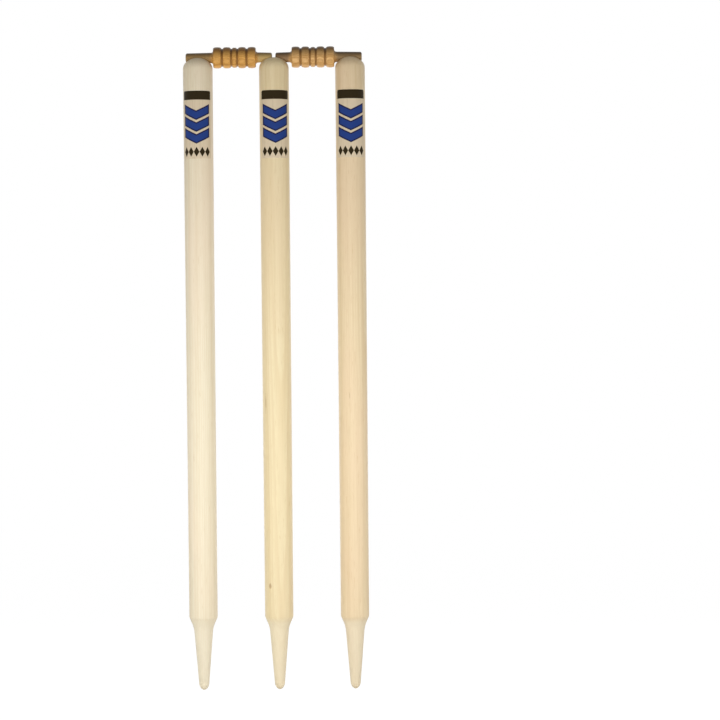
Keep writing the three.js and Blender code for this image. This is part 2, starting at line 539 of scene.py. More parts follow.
@dataclass(frozen=True, kw_only=True)
class BailFinish(WoodFinish):
    """Hardwood stained honey brown and lacquered, with stain and painted shade in the coves."""

    scorch: Colour  # in the coves between the beads: a scorched stain with painted shade of the coves
    # the spigots' darker wood, partly painted shade where the domes' lips shade them in the grooves
    long_spigot: Colour
    short_spigot: Colour
    turned: float  # 1 where the long spigot points to -X, and -1 where it points to +X
    cove_radius: float
    bead_radius: float
    spigot_radius: float
    barrel_half: float
    upper_shade: Colour = (0.3, 0.285, 0.26)  # painted shade: the bail's upper side, spigots too, is darker
    upper_slope: Flat = (-0.25, 1.0)
    stain_strength: float = 0.85
    stain_rise: float = 2.0 * MM
    stain_depth_share: float = 0.7  # of a cove's depth, up to which the stain and painted shade reach
    spigot_fade: Flat = (-0.5 * MM, 6.0 * MM)  # past the end of the barrel
    spigot_share: float = 0.8
    ring_pitch: float = 1.7 * MM
    ring_end_share: float = 0.88
    sway_grain: Point = (8.0, 40.0, 40.0)
    sway_seed: float = 43.0
    heart: Flat = (31.0 * MM, 12.0 * MM)  # behind and below the bail's axis
    lean: float = 0.05
    pore_grain: Point = (95.0, 2400.0, 2400.0)
    pore_seed: float = 31.0
    pore_strength: float = 0.55
    pore_depth: float = 0.7
    roughness: float = 0.34
    rough_swing: float = 0.14
    relief: float = 0.05 * MM
    specular: float = 0.18
    lacquer: float = 0.03
    lacquer_roughness: float = 0.25

    def layers(self) -> tuple[Layer, ...]:
        """Gives the streaks, the blotches and the fibre, which run along the bail."""
        return (
            Layer((9.0, 260.0, 260.0), 7.0, (0.4, 0.85), self.late, detail=3.0, blend="MIX"),
            Layer((60.0, 110.0, 110.0), 19.0, (0.4, 0.8), (0.86, 0.8, 0.7)),
            Layer((34.0, 1500.0, 1500.0), 0.0, (0.4, 0.9), (0.88, 0.82, 0.72), detail=3.0),
        )

    def material(self, centre: Point) -> bpy.types.Material:
        """Builds the finish for a bail.

        Args:
            centre: the middle of the bail's barrel.

        Returns:
            The material.
        """
        coat = Coating(self.name)
        place = coat.place(centre)
        x, y, z = coat.split(place)
        radius = coat.length(coat.join(0.0, y, z))
        colour, fibre = self.grained(coat, place, self.rings(coat, self._from_heart(coat, place)))
        pores = self.pores(coat, place)

        colour = coat.tint(coat.math("MULTIPLY", pores, self.pore_strength), colour, self.scorch)
        # stain with painted shade in the coves
        colour = coat.tint(self._stain(coat, radius), colour, self.scorch)
        start, end = (self.barrel_half + past for past in self.spigot_fade)
        # darker spigots: partly their own wood, partly painted shade from the domes' lips
        for way, spigot in ((-self.turned, self.long_spigot), (self.turned, self.short_spigot)):
            beyond = coat.fade(coat.math("MULTIPLY", x, way), start, end)
            colour = coat.tint(coat.math("MULTIPLY", beyond, self.spigot_share), colour, spigot)
        # painted shade: darkens the upper side of the bail and its spigots
        painted_top_shade_mask = coat.fade(coat.math("DIVIDE", z, radius), *self.upper_slope)
        colour = coat.tint(painted_top_shade_mask, colour, self.upper_shade, "MULTIPLY")

        return self.lacquered(coat, colour, self.rough(coat, fibre), fibre, pores)

    def _from_heart(self, coat: Coating, place: Socket) -> Socket:
        """Measures the distance from the heart of the tree, which runs nearly along the bail.

        Args:
            coat: the material.
            place: the point on the bail.

        Returns:
            The distance, square to the bail.
        """
        x, y, z = coat.split(place)
        behind, below = self.heart
        sway = self.sway(coat, place).outputs[0]
        leaned = coat.math("MULTIPLY_ADD", x, self.lean, z)
        swayed = coat.math("MULTIPLY_ADD", sway, self.ring_sway, leaned)
        return coat.length(coat.join(0.0, coat.math("ADD", y, behind), coat.math("ADD", swayed, below)))

    def _stain(self, coat: Coating, radius: Socket) -> Socket:
        """Finds the coves: further out than a spigot, and not as far as the crown of a bead.

        Args:
            coat: the material.
            radius: the distance from the bail's axis.

        Returns:
            How much stain and painted shade lies there.
        """
        shallow = self.cove_radius + self.stain_depth_share * (self.bead_radius - self.cove_radius)
        beyond_spigot = coat.fade(radius, self.spigot_radius, self.spigot_radius + self.stain_rise)
        below_crown = coat.fade(radius, shallow, self.cove_radius)
        return coat.fold("MULTIPLY", (beyond_spigot, below_crown, self.stain_strength))


@dataclass(frozen=True)
class LabelFinish:
    """Cream transfer film with a generic print: a black band, blue chevrons and black lozenges."""

    name: str = "label_film"
    cream: Colour = (0.7, 0.58, 0.41)
    shade: Colour = (0.61, 0.5, 0.345)  # where the wood's grain shows through
    shade_shows: Flat = (0.4, 0.85)
    grain: Point = (520.0, 520.0, 12.0)
    ink: Colour = (0.022, 0.013, 0.001)
    blue: Colour = (0.015, 0.045, 0.22)
    navy: Colour = (0.01, 0.012, 0.06)
    width: float = 40.0 * MM
    height: float = 85.5 * MM
    edge: float = 0.14 * MM  # how soft the print's edges are
    band: float = 11.2 * MM  # the black band at the upper edge
    chevrons: int = 3
    chevron_top: float = 16.4 * MM  # to the ends of the first chevron's arms
    chevron_pitch: float = 14.9 * MM
    chevron_thickness: float = 12.0 * MM
    chevron_drop: float = 8.5 * MM  # from the ends of its arms down to its point
    chevron_rim: float = 1.9 * MM  # the navy border
    chevron_reach: float = 17.6 * MM  # from the middle of the label to the ends of the arms
    lozenges: int = 5
    lozenge_middle: float = 76.8 * MM
    lozenge_pitch: float = 7.3 * MM
    lozenge_half: Flat = (3.6 * MM, 6.2 * MM)
    ink_relief: float = 0.02 * MM
    ink_share: float = 0.6  # of that relief; the grain has the rest
    roughness: float = 0.5
    ink_gloss: float = 0.1
    specular: float = 0.12

    def material(self) -> bpy.types.Material:
        """Builds the film, whose print follows the piece's own map.

        Returns:
            The material.
        """
        coat = Coating(self.name)
        sheet = coat.add("ShaderNodeUVMap", uv_map=PRINT_MAP).outputs[0]
        across_share, up_share, _ = coat.split(sheet)
        across = coat.math("MULTIPLY_ADD", across_share, self.width, -self.width / 2.0)
        down = coat.math("MULTIPLY_ADD", up_share, -self.height, self.height)

        rims, fills = self._chevrons(coat, across, down)
        band = self._below(coat, down, self.band)
        black = coat.math("MAXIMUM", band, self._lozenges(coat, across, down))
        printed = coat.fold("MAXIMUM", (black, rims, fills))

        grain = coat.noise(coat.place((0.0, 0.0, 0.0)), self.grain, 2.0, 0.0).outputs[0]
        colour = coat.tint(coat.fade(grain, *self.shade_shows), self.cream, self.shade)
        for mask, ink in ((rims, self.navy), (fills, self.blue), (black, self.ink)):
            colour = coat.tint(mask, colour, ink)
        grained = coat.math("MULTIPLY", grain, 1.0 - self.ink_share)
        height = coat.math("ADD", coat.math("MULTIPLY", printed, self.ink_share), grained)
        return coat.finish(
            Base_Color=colour,
            Roughness=coat.math("MULTIPLY_ADD", printed, -self.ink_gloss, self.roughness),
            Specular_IOR_Level=self.specular,
            Normal=coat.relief(height, self.ink_relief),
        )

    def _below(self, coat: Coating, value: Value, limit: Value) -> Socket:
        """Gives 1 where a value is under a limit, with the print's soft edge."""
        return coat.fade(coat.math("SUBTRACT", limit, value), -self.edge, self.edge)

    def _chevrons(self, coat: Coating, across: Socket, down: Socket) -> tuple[Socket, Socket]:
        """Draws the blue chevrons, which point down.

        Args:
            coat: the material.
            across: the distance from the label's middle line.
            down: the distance from its upper edge.

        Returns:
            The chevrons with their border, and the chevrons inside it.
        """
        aside = coat.math("ABSOLUTE", across)
        straightened = coat.math("MULTIPLY_ADD", aside, self.chevron_drop / self.chevron_reach, down)
        first = self.chevron_top + self.chevron_drop + self.chevron_thickness / 2.0
        masks = []
        for inset in (0.0, self.chevron_rim):
            arms = []
            for index in range(self.chevrons):
                middle = first + index * self.chevron_pitch
                off = coat.math("ABSOLUTE", coat.math("SUBTRACT", straightened, middle))
                arms.append(self._below(coat, off, self.chevron_thickness / 2.0 - inset))
            inside = self._below(coat, aside, self.chevron_reach - inset)
            masks.append(coat.math("MULTIPLY", coat.fold("MAXIMUM", arms), inside))
        return masks[0], masks[1]

    def _lozenges(self, coat: Coating, across: Socket, down: Socket) -> Socket:
        """Draws the row of black lozenges.

        Args:
            coat: the material.
            across: the distance from the label's middle line.
            down: the distance from its upper edge.

        Returns:
            1 inside the lozenges, and 0 outside.
        """
        half_width, half_height = self.lozenge_half
        rise = coat.math("ABSOLUTE", coat.math("SUBTRACT", down, self.lozenge_middle))
        rise_share = coat.math("DIVIDE", rise, half_height)
        shapes = []
        for index in range(self.lozenges):
            centre = (index - (self.lozenges - 1) / 2.0) * self.lozenge_pitch
            run = coat.math("ABSOLUTE", coat.math("SUBTRACT", across, centre))
            total = coat.math("ADD", coat.math("DIVIDE", run, half_width), rise_share)
            shapes.append(self._below(coat, coat.math("MULTIPLY", total, half_width), half_width))
        return coat.fold("MAXIMUM", shapes)


def quadratic(start: Flat, bend: Flat, end: Flat, steps: int) -> list[Flat]:
    """Samples a curve that leaves its start towards a bend point and arrives from there.

    Args:
        start: the first point.
        bend: the point that pulls the curve.
        end: the last point.
        steps: how many stretches to cut the curve into.

    Returns:
        The points, with both ends.
    """
    points = []
    for step in range(steps + 1):
        share = step / steps
        weights = ((1.0 - share) ** 2, 2.0 * share * (1.0 - share), share**2)
        ends = zip(start, bend, end)
        points.append(tuple(sum(w * number for w, number in zip(weights, row)) for row in ends))
    return points


def towards(start: Flat, end: Flat, distance: float) -> Flat:
    """Finds the point at a distance from one point on the way to another."""
    share = distance / math.dist(start, end)
    return tuple(a + (b - a) * share for a, b in zip(start, end))


def rounded(before: Flat, corner: Flat, after: Flat, size: float, steps: int) -> list[Flat]:
    """Rounds one corner of an outline."""
    return quadratic(towards(corner, before, size), corner, towards(corner, after, size), steps)


def grid(rows: int, columns: int, first: int = 0, ring: bool = False) -> list[tuple[int, ...]]:
    """Joins rows of points into squares.

    Args:
        rows: how many rows of squares there are.
        columns: how many squares stand in a row.
        first: the number of the first point.
        ring: whether each row closes on its own first point.

    Returns:
        The squares, as numbers of points.
    """
    wide = columns if ring else columns + 1
    faces = []
    for row in range(rows):
        start = first + row * wide
        for column in range(columns):
            here, after = start + column, start + (column + 1) % wide
            faces.append((here, after, after + wide, here + wide))
    return faces


def closed_mesh(name: str, points: Sequence[Point], faces: Sequence[Sequence[int]]) -> bpy.types.Mesh:
    """Makes a mesh without doubled points, with its faces pointing out.

    Args:
        name: the mesh's name.
        points: its points.
        faces: its faces, as numbers of points.

    Returns:
        The mesh.
    """
    mesh = bpy.data.meshes.new(name)
    mesh.from_pydata(points, [], faces)
    work = bmesh.new()
    work.from_mesh(mesh)
    bmesh.ops.remove_doubles(work, verts=work.verts, dist=WELD)
    bmesh.ops.recalc_face_normals(work, faces=work.faces)
    work.to_mesh(mesh)
    work.free()
    return mesh


def linked_object(name: str, data: bpy.types.ID) -> bpy.types.Object:
    """Adds a mesh, a light or a camera to the scene.

    Args:
        name: the object's name.
        data: what it holds.

    Returns:
        The object.
    """
    thing = bpy.data.objects.new(name, data)
    bpy.context.scene.collection.objects.link(thing)
    return thing


def finished_piece(node: str, mesh: bpy.types.Mesh, material: bpy.types.Material) -> None:
    """Links a mesh as a piece that stands for its node of the frame.

    Args:
        node: the node's name. The piece is named after it.
        mesh: the piece's mesh, in its place.
        material: its finish.
    """
    piece = linked_object(f"{node}_piece", mesh)
    mesh.materials.clear()
    mesh.materials.append(material)
    mesh.shade_smooth()
    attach(piece, frame["nodes"][node]["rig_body"])
    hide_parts(node)
    LOG.info("%s: %d faces", piece.name, len(mesh.polygons))


def stump_axis(side: Side) -> float:
    """Finds where a stump's axis stands along X."""
    low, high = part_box(side.stump)
    return (low.x + high.x) / 2.0


@dataclass(frozen=True)
class StumpForm:
    """The sizes that every stump is turned to."""

    height: float = 711.2 * MM
    top_radius: float = 18.8 * MM
    foot_radius: float = 18.0 * MM
    dome_height: float = 15.0 * MM
    shoulder_height: float = 13.0 * MM
    shoulder_round: float = 2.0 * MM
    neck_radius: float = 12.3 * MM
    neck_round: float = 6.0 * MM
    point_length: float = 72.5 * MM
    point_radius: float = 6.4 * MM
    tip_length: float = 7.5 * MM
    tip_shares: Flat = (0.8, 0.86)
    groove_radius: float = 6.9 * MM
    groove_axis_drop: float = 0.7 * MM  # below the crest of the dome
    groove_flare: float = math.radians(80.0)  # how steep its lips stand
    lip_round: float = 1.2 * MM
    longest_row: float = 14.0 * MM
    tip_steps: int = 14
    neck_steps: int = 12
    shoulder_steps: int = 8
    lip_place_share: float = 1.05  # of the angle at which the groove meets the shaft
    lip_zone: float = math.radians(3.2)
    lip_lane: float = math.radians(0.35)
    groove_lane: float = math.radians(1.0)
    outer_lane: float = math.radians(3.0)

    @property
    def dome_base(self) -> float:
        """The height at which the shaft turns into the dome."""
        return self.height - self.dome_height

    def shaft_radius(self, z: float) -> float:
        """Half the shaft's thickness at a height above ground."""
        return self.foot_radius + (self.top_radius - self.foot_radius) * z / self.dome_base

    def outline(self) -> list[Flat]:
        """Draws the turned outline from the tip up to the base of the dome.

        Returns:
            Points as radius and height.
        """
        neck = (self.neck_radius, -self.shoulder_height)
        foot = (self.foot_radius, 0.0)
        point_end = (self.point_radius, neck[1] - self.point_length)
        dome_base = (self.top_radius, self.dome_base)
        tip = (0.0, point_end[1] - self.tip_length)
        radius_share, length_share = self.tip_shares
        bluntness = (self.point_radius * radius_share, point_end[1] - self.tip_length * length_share)
        points = quadratic(tip, bluntness, point_end, self.tip_steps)
        points += rounded(point_end, neck, foot, self.neck_round, self.neck_steps)
        points += rounded(neck, foot, dome_base, self.shoulder_round, self.shoulder_steps)
        points.append(dome_base)
        return self._with_rows(points)

    def _with_rows(self, points: list[Flat]) -> list[Flat]:
        """Cuts the outline's long straight stretches into rows.

        Args:
            points: the outline.

        Returns:
            The outline with more points on its straight stretches.
        """
        result = [points[0]]
        for start, end in zip(points, points[1:]):
            length = math.dist(start, end)
            rows = max(1, math.ceil(length / self.longest_row))
            result += [towards(start, end, length * row / rows) for row in range(1, rows + 1)]
        return result

    def lanes(self) -> list[float]:
        """Chooses the mesh lines that run along the groove, close together at its lips.

        Returns:
            Angles round the stump's axis, from -Y through +X to +Y.
        """
        lip = math.asin(self.groove_radius / self.top_radius)
        angles = [0.0]
        while angles[-1] < math.pi / 2.0:
            off_lip = abs(angles[-1] - lip * self.lip_place_share)
            step = self.groove_lane if off_lip < lip else self.outer_lane
            if off_lip < self.lip_zone:
                step = self.lip_lane
            angles.append(min(angles[-1] + step, math.pi / 2.0))
        return [-angle for angle in reversed(angles[1:])] + angles

    def crown_height(self, lane: float, turn: float) -> float:
        """Finds the height of the dome or of the groove in it, with the lip between them rounded.

        Args:
            lane: the angle of a mesh line, as in lanes.
            turn: the place along that line, from -90 to 90 degrees.

        Returns:
            The height above ground.
        """
        dome = self.dome_base + self.dome_height * math.cos(lane) * math.cos(turn)
        aside = abs(self.top_radius * math.sin(lane))
        axis = self.height - self.groove_axis_drop
        edge = self.groove_radius * math.sin(self.groove_flare)
        inside = min(aside, edge)
        groove = axis - math.sqrt(self.groove_radius**2 - inside**2)
        groove += (aside - inside) * math.tan(self.groove_flare)
        blend = min(max(0.5 + 0.5 * (groove - dome) / self.lip_round, 0.0), 1.0)
        return groove + (dome - groove) * blend - self.lip_round * blend * (1.0 - blend)


@dataclass
class Stump:
    """One turned stump: spike, shoulder, shaft and the grooved dome."""

    side: Side
    finish: AshFinish
    form: StumpForm = field(default_factory=StumpForm)
    crown_steps: int = 96

    def build(self) -> None:
        """Makes the stump and dresses it."""
        axis_x = stump_axis(self.side)
        wood = self.finish.material(axis_x)
        finished_piece(self.side.stump, self._mesh(axis_x), wood)

    def _mesh(self, axis_x: float) -> bpy.types.Mesh:
        """Makes the turned body and closes it with the grooved crown.

        Args:
            axis_x: where the stump's axis stands along X.

        Returns:
            The mesh.
        """
        lanes = self.form.lanes()
        outline = self.form.outline()
        around = lanes + [math.pi - lane for lane in reversed(lanes[1:-1])]
        points = [
            (axis_x + radius * math.cos(angle), radius * math.sin(angle), z)
            for radius, z in outline
            for angle in around
        ]
        faces = grid(len(outline) - 1, len(around), ring=True)
        faces += grid(len(lanes) - 1, self.crown_steps, first=len(points))
        points += self._crown_points(axis_x, lanes)
        return closed_mesh(self.side.stump, points, faces)

    def _crown_points(self, axis_x: float, lanes: list[float]) -> list[Point]:
        """Places the points of the grooved dome, whose rim meets the top of the shaft.

        Args:
            axis_x: where the stump's axis stands along X.
            lanes: the angles of the mesh lines that run along the groove.

        Returns:
            The points, line by line.
        """
        form = self.form
        points = []
        for lane in lanes:
            for step in range(self.crown_steps + 1):
                turn = math.pi * (0.5 - step / self.crown_steps)
                x = form.top_radius * math.cos(lane) * math.sin(turn)
                y = form.top_radius * math.sin(lane)
                points.append((axis_x + x, y, form.crown_height(lane, turn)))
        return points


@dataclass
class Label:
    """The thin printed film on the front of a stump."""

    side: Side
    material: bpy.types.Material
    finish: LabelFinish
    form: StumpForm = field(default_factory=StumpForm)
    glue: float = 0.05 * MM
    thickness: float = 0.2 * MM
    corner: float = 1.5 * MM
    columns: int = 48
    rows: int = 60

    def build(self) -> None:
        """Makes the film and dresses it."""
        name = f"{self.side.stump}_label"
        finished_piece(name, self._mesh(name), self.material)

    def _mesh(self, name: str) -> bpy.types.Mesh:
        """Makes the film as two curved faces with a rim between them.

        Args:
            name: the label's node.

        Returns:
            The mesh, with the map that the print follows.
        """
        low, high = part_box(name)
        axis_x = stump_axis(self.side)
        facing = self._facing(low, high, axis_x)
        mean_radius = self.form.shaft_radius((low.z + high.z) / 2.0)
        points, places = [], []
        for lift in (self.glue + self.thickness, self.glue):
            for row in range(self.rows + 1):
                z = low.z + (high.z - low.z) * row / self.rows
                radius = self.form.shaft_radius(z) + lift
                width = self.finish.width - 2.0 * self._corner_inset(min(z - low.z, high.z - z))
                for column in range(self.columns + 1):
                    aside = width * (column / self.columns - 0.5)
                    angle = facing + aside / mean_radius
                    points.append((axis_x + radius * math.sin(angle), -radius * math.cos(angle), z))
                    places.append((aside / self.finish.width + 0.5, row / self.rows))
        mesh = closed_mesh(name, points, self._faces())
        layer = mesh.uv_layers.new(name=PRINT_MAP)
        for loop in mesh.loops:
            layer.data[loop.index].uv = places[loop.vertex_index]
        return mesh

    def _corner_inset(self, to_edge: float) -> float:
        """Finds how far a rounded corner draws the film's side in, near its upper or lower edge."""
        pinch = max(0.0, self.corner - to_edge)
        return self.corner - math.sqrt(self.corner**2 - pinch**2)

    def _facing(self, low: Vector, high: Vector, axis_x: float) -> float:
        """Finds how far the label is turned from -Y.

        Args:
            low: the lowest corner of its box.
            high: the highest corner.
            axis_x: where the stump's axis stands along X.

        Returns:
            The angle towards +X.
        """
        reach = self.form.shaft_radius(low.z) + self.glue + self.thickness
        left = math.asin(max(-1.0, (low.x - axis_x) / reach))
        right = math.asin(min(1.0, (high.x - axis_x) / reach))
        return (left + right) / 2.0

    def _faces(self) -> list[tuple[int, ...]]:
        """Joins the points of the film's two faces, and closes the rim between them.

        Returns:
            The faces, as numbers of points.
        """
        wide = self.columns + 1
        layer = wide * (self.rows + 1)
        faces = []
        for quad in grid(self.rows, self.columns):
            faces += [quad, tuple(layer + index for index in reversed(quad))]
        rim = list(range(wide))
        rim += [row * wide + self.columns for row in range(1, self.rows + 1)]
        rim += [self.rows * wide + column for column in reversed(range(self.columns))]
        rim += [row * wide for row in reversed(range(1, self.rows))]
        for here, after in zip(rim, rim[1:] + rim[:1]):
            faces.append((here, here + layer, after + layer, after))
        return faces


@dataclass(frozen=True)
class BailForm:
    """The sizes that both bails are turned to."""

    long_spigot: float = 34.9 * MM
    barrel: float = 54.0 * MM
    short_spigot: float = 20.6 * MM
    barrel_radius: float = 13.4 * MM
    centre_radius: float = 12.7 * MM
    cove_radius: float = 11.3 * MM
    squareness: float = 2.5
    root_radius: float = 6.6 * MM
    tip_radius: float = 6.0 * MM
    tip_round: float = 2.2 * MM
    root_fillet: float = 2.8 * MM
    rings: int = 560
    sides: int = 64
    bead_shares: tuple[float, ...] = (0.19, 0.18, 0.105, 0.18, 0.19)
    cove_shares: tuple[float, ...] = (0.0425, 0.035, 0.035, 0.0425, 0.0)

    def inputs(self) -> dict[str, float | int]:
        """Gives the sizes that the turning takes as inputs, by name."""
        return {name: value for name, value in vars(self).items() if not name.endswith("_shares")}


class BailTurning(NodeBench):
    """The geometry nodes that turn a bail: a line along its axis, swept with a changing radius."""

    def __init__(self, form: BailForm) -> None:
        """Builds the tree.

        Args:
            form: the sizes to take as inputs, and the shares of the beads and coves.
        """
        super().__init__(bpy.data.node_groups.new("bail_turning", "GeometryNodeTree"))
        self.form = form
        kinds = dict.fromkeys(("tip", "other_tip"), "NodeSocketVector")
        kinds["wood"] = "NodeSocketMaterial"
        for name, value in form.inputs().items():
            kinds[name] = "NodeSocketInt" if isinstance(value, int) else "NodeSocketFloat"
        self.identifiers: dict[str, str] = {}
        for name, kind in kinds.items():
            title = name.replace("_", " ").title()
            socket = self.tree.interface.new_socket(title, in_out="INPUT", socket_type=kind)
            self.identifiers[name] = socket.identifier
        self.tree.interface.new_socket("Bail", in_out="OUTPUT", socket_type="NodeSocketGeometry")
        self.size = dict(zip(kinds, self.add("NodeGroupInput").outputs))
        self._sweep()

    def _sweep(self) -> None:
        """Sweeps a circle along the bail's axis."""
        size = self.size
        line = self.add("GeometryNodeCurvePrimitiveLine", mode="POINTS")
        self.wire(line, Start=size["tip"], End=size["other_tip"])
        points = self.add("GeometryNodeResampleCurve", mode="COUNT")
        self.wire(points, Curve=line.outputs[0], Count=size["rings"])
        circle = self.add("GeometryNodeCurvePrimitiveCircle")
        self.wire(circle, Resolution=size["sides"], Radius=1.0)
        sweep = self.add("GeometryNodeCurveToMesh")
        self.wire(sweep, Curve=points.outputs[0], Profile_Curve=circle.outputs[0])
        self.wire(sweep, Scale=self._radius(), Fill_Caps=True)
        real = self.add("GeometryNodeRealizeInstances", sweep.outputs[0])
        wood = self.add("GeometryNodeSetMaterial")
        self.wire(wood, Geometry=real.outputs[0], Material=size["wood"])
        self.add("NodeGroupOutput", wood.outputs[0])

    def _radius(self) -> Socket:
        """Works out the bail's radius at each point of its axis.

        Returns:
            The radius.
        """
        size = self.size
        along = self.add("GeometryNodeSplineParameter").outputs["Length"]
        barrel_end = self.math("ADD", size["long_spigot"], size["barrel"])
        whole = self.math("ADD", barrel_end, size["short_spigot"])
        long_side = self._spigot(along, size["long_spigot"])
        short_side = self._spigot(self.math("SUBTRACT", whole, along), size["short_spigot"])
        barrel = self._beads(self.math("SUBTRACT", along, size["long_spigot"]))
        past_root = self.math("GREATER_THAN", along, size["long_spigot"])
        past_barrel = self.math("GREATER_THAN", along, barrel_end)
        return self._choose(past_barrel, self._choose(past_root, long_side, barrel), short_side)

    def _choose(self, switch: Socket, before: Socket, after: Socket) -> Socket:
        """Takes one value while a switch is 0, and the other once it is 1."""
        return self.math("MULTIPLY_ADD", switch, self.math("SUBTRACT", after, before), before)

    def _spigot(self, from_tip: Socket, length: Socket) -> Socket:
        """Works out a spigot's radius: a rounded tip, a slight taper and a filleted root.

        Args:
            from_tip: the distance from the spigot's tip.
            length: the spigot's length.

        Returns:
            The radius.
        """
        size = self.size
        share = self.math("DIVIDE", from_tip, length)
        taper = self.math("SUBTRACT", size["root_radius"], size["tip_radius"])
        straight = self.math("MULTIPLY_ADD", taper, share, size["tip_radius"])
        rounding = self._quarter(size["tip_round"], from_tip)
        fillet = self._quarter(size["root_fillet"], self.math("SUBTRACT", length, from_tip))
        return self.math("ADD", self.math("SUBTRACT", straight, rounding), fillet)

    def _quarter(self, radius: Socket, distance: Socket) -> Socket:
        """Works out how far a quarter circle has bent aside.

        Args:
            radius: the circle's radius.
            distance: the distance from the end that bends, where the result is the whole radius.

        Returns:
            The bend, which is 0 from one radius on.
        """
        left = self.math("MAXIMUM", self.math("SUBTRACT", radius, distance), 0.0)
        capped = self.math("MINIMUM", left, radius)
        across = self.math("POWER", radius, 2.0)
        squares = self.math("SUBTRACT", across, self.math("POWER", capped, 2.0))
        return self.math("SUBTRACT", radius, self.math("SQRT", self.math("MAXIMUM", squares, 0.0)))

    def _beads(self, from_root: Socket) -> Socket:
        """Works out the barrel's radius: five rounded beads with coves between them.

        Args:
            from_root: the distance from the start of the barrel.

        Returns:
            The radius.
        """
        size = self.size
        share = self.math("DIVIDE", from_root, size["barrel"])
        centre = len(self.form.bead_shares) // 2
        start = 0.0
        radii = []
        for index, (bead, cove) in enumerate(zip(self.form.bead_shares, self.form.cove_shares)):
            crown = size["centre_radius" if index == centre else "barrel_radius"]
            turn = self.math("MULTIPLY_ADD", share, 2.0 / bead, -1.0 - 2.0 * start / bead)
            capped = self.math("MINIMUM", self.math("ABSOLUTE", turn), 1.0)
            bent = self.math("SUBTRACT", 1.0, self.math("POWER", capped, size["squareness"]))
            rise = self.math("POWER", bent, self.math("DIVIDE", 1.0, size["squareness"]))
            height = self.math("SUBTRACT", crown, size["cove_radius"])
            radii.append(self.math("MULTIPLY_ADD", rise, height, size["cove_radius"]))
            start += bead + cove
        return self.fold("MAXIMUM", radii)


@dataclass
class Bail:
    """One turned bail, lying in the grooves of an outer stump and the middle one."""

    side: Side
    turning: BailTurning
    finish: BailFinish

    def build(self) -> None:
        """Turns the bail and dresses it."""
        low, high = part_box(self.side.bail)
        middle = (low + high) / 2.0
        outer, inner = (low.x, high.x) if self.side is Side.LEFT else (high.x, low.x)
        form = self.turning.form
        inwards = math.copysign(form.long_spigot + form.barrel / 2.0, inner - outer)
        wood = self.finish.material((outer + inwards, middle.y, middle.z))
        mesh = self._turned((outer, middle.y, middle.z), (inner, middle.y, middle.z), wood)
        finished_piece(self.side.bail, mesh, wood)

    def _turned(self, tip: Point, other_tip: Point, wood: bpy.types.Material) -> bpy.types.Mesh:
        """Runs the turning between two tips.

        Args:
            tip: the end of the long spigot.
            other_tip: the end of the short spigot.
            wood: the finish.

        Returns:
            The bail as a plain mesh.
        """
        blank = linked_object("bail_blank", bpy.data.meshes.new("bail_blank"))
        modifier = blank.modifiers.new("turning", "NODES")
        modifier.node_group = self.turning.tree
        inputs = {"tip": tip, "other_tip": other_tip, "wood": wood, **self.turning.form.inputs()}
        for name, value in inputs.items():
            modifier[self.turning.identifiers[name]] = value
        graph = bpy.context.evaluated_depsgraph_get()
        mesh = bpy.data.meshes.new_from_object(blank.evaluated_get(graph))
        mesh.name = self.side.bail
        bpy.data.objects.remove(blank)
        return mesh


@dataclass(frozen=True)
class Lamp:
    """A soft rectangular light near the wicket, which the camera doesn't see."""

    name: str
    place: Point
    width: float
    height: float
    power: float

    def hang(self, target: Point) -> None:
        """Adds the light to the scene.

        Args:
            target: the point that it is turned towards.
        """
        data = bpy.data.lights.new(self.name, "AREA")
        data.shape = "RECTANGLE"
        data.size = self.width
        data.size_y = self.height
        data.energy = self.power
        light = linked_object(self.name, data)
        light.location = self.place
        light.visible_camera = False
        aim = Vector(target) - light.location
        light.rotation_euler = aim.to_track_quat("-Z", "Y").to_euler()


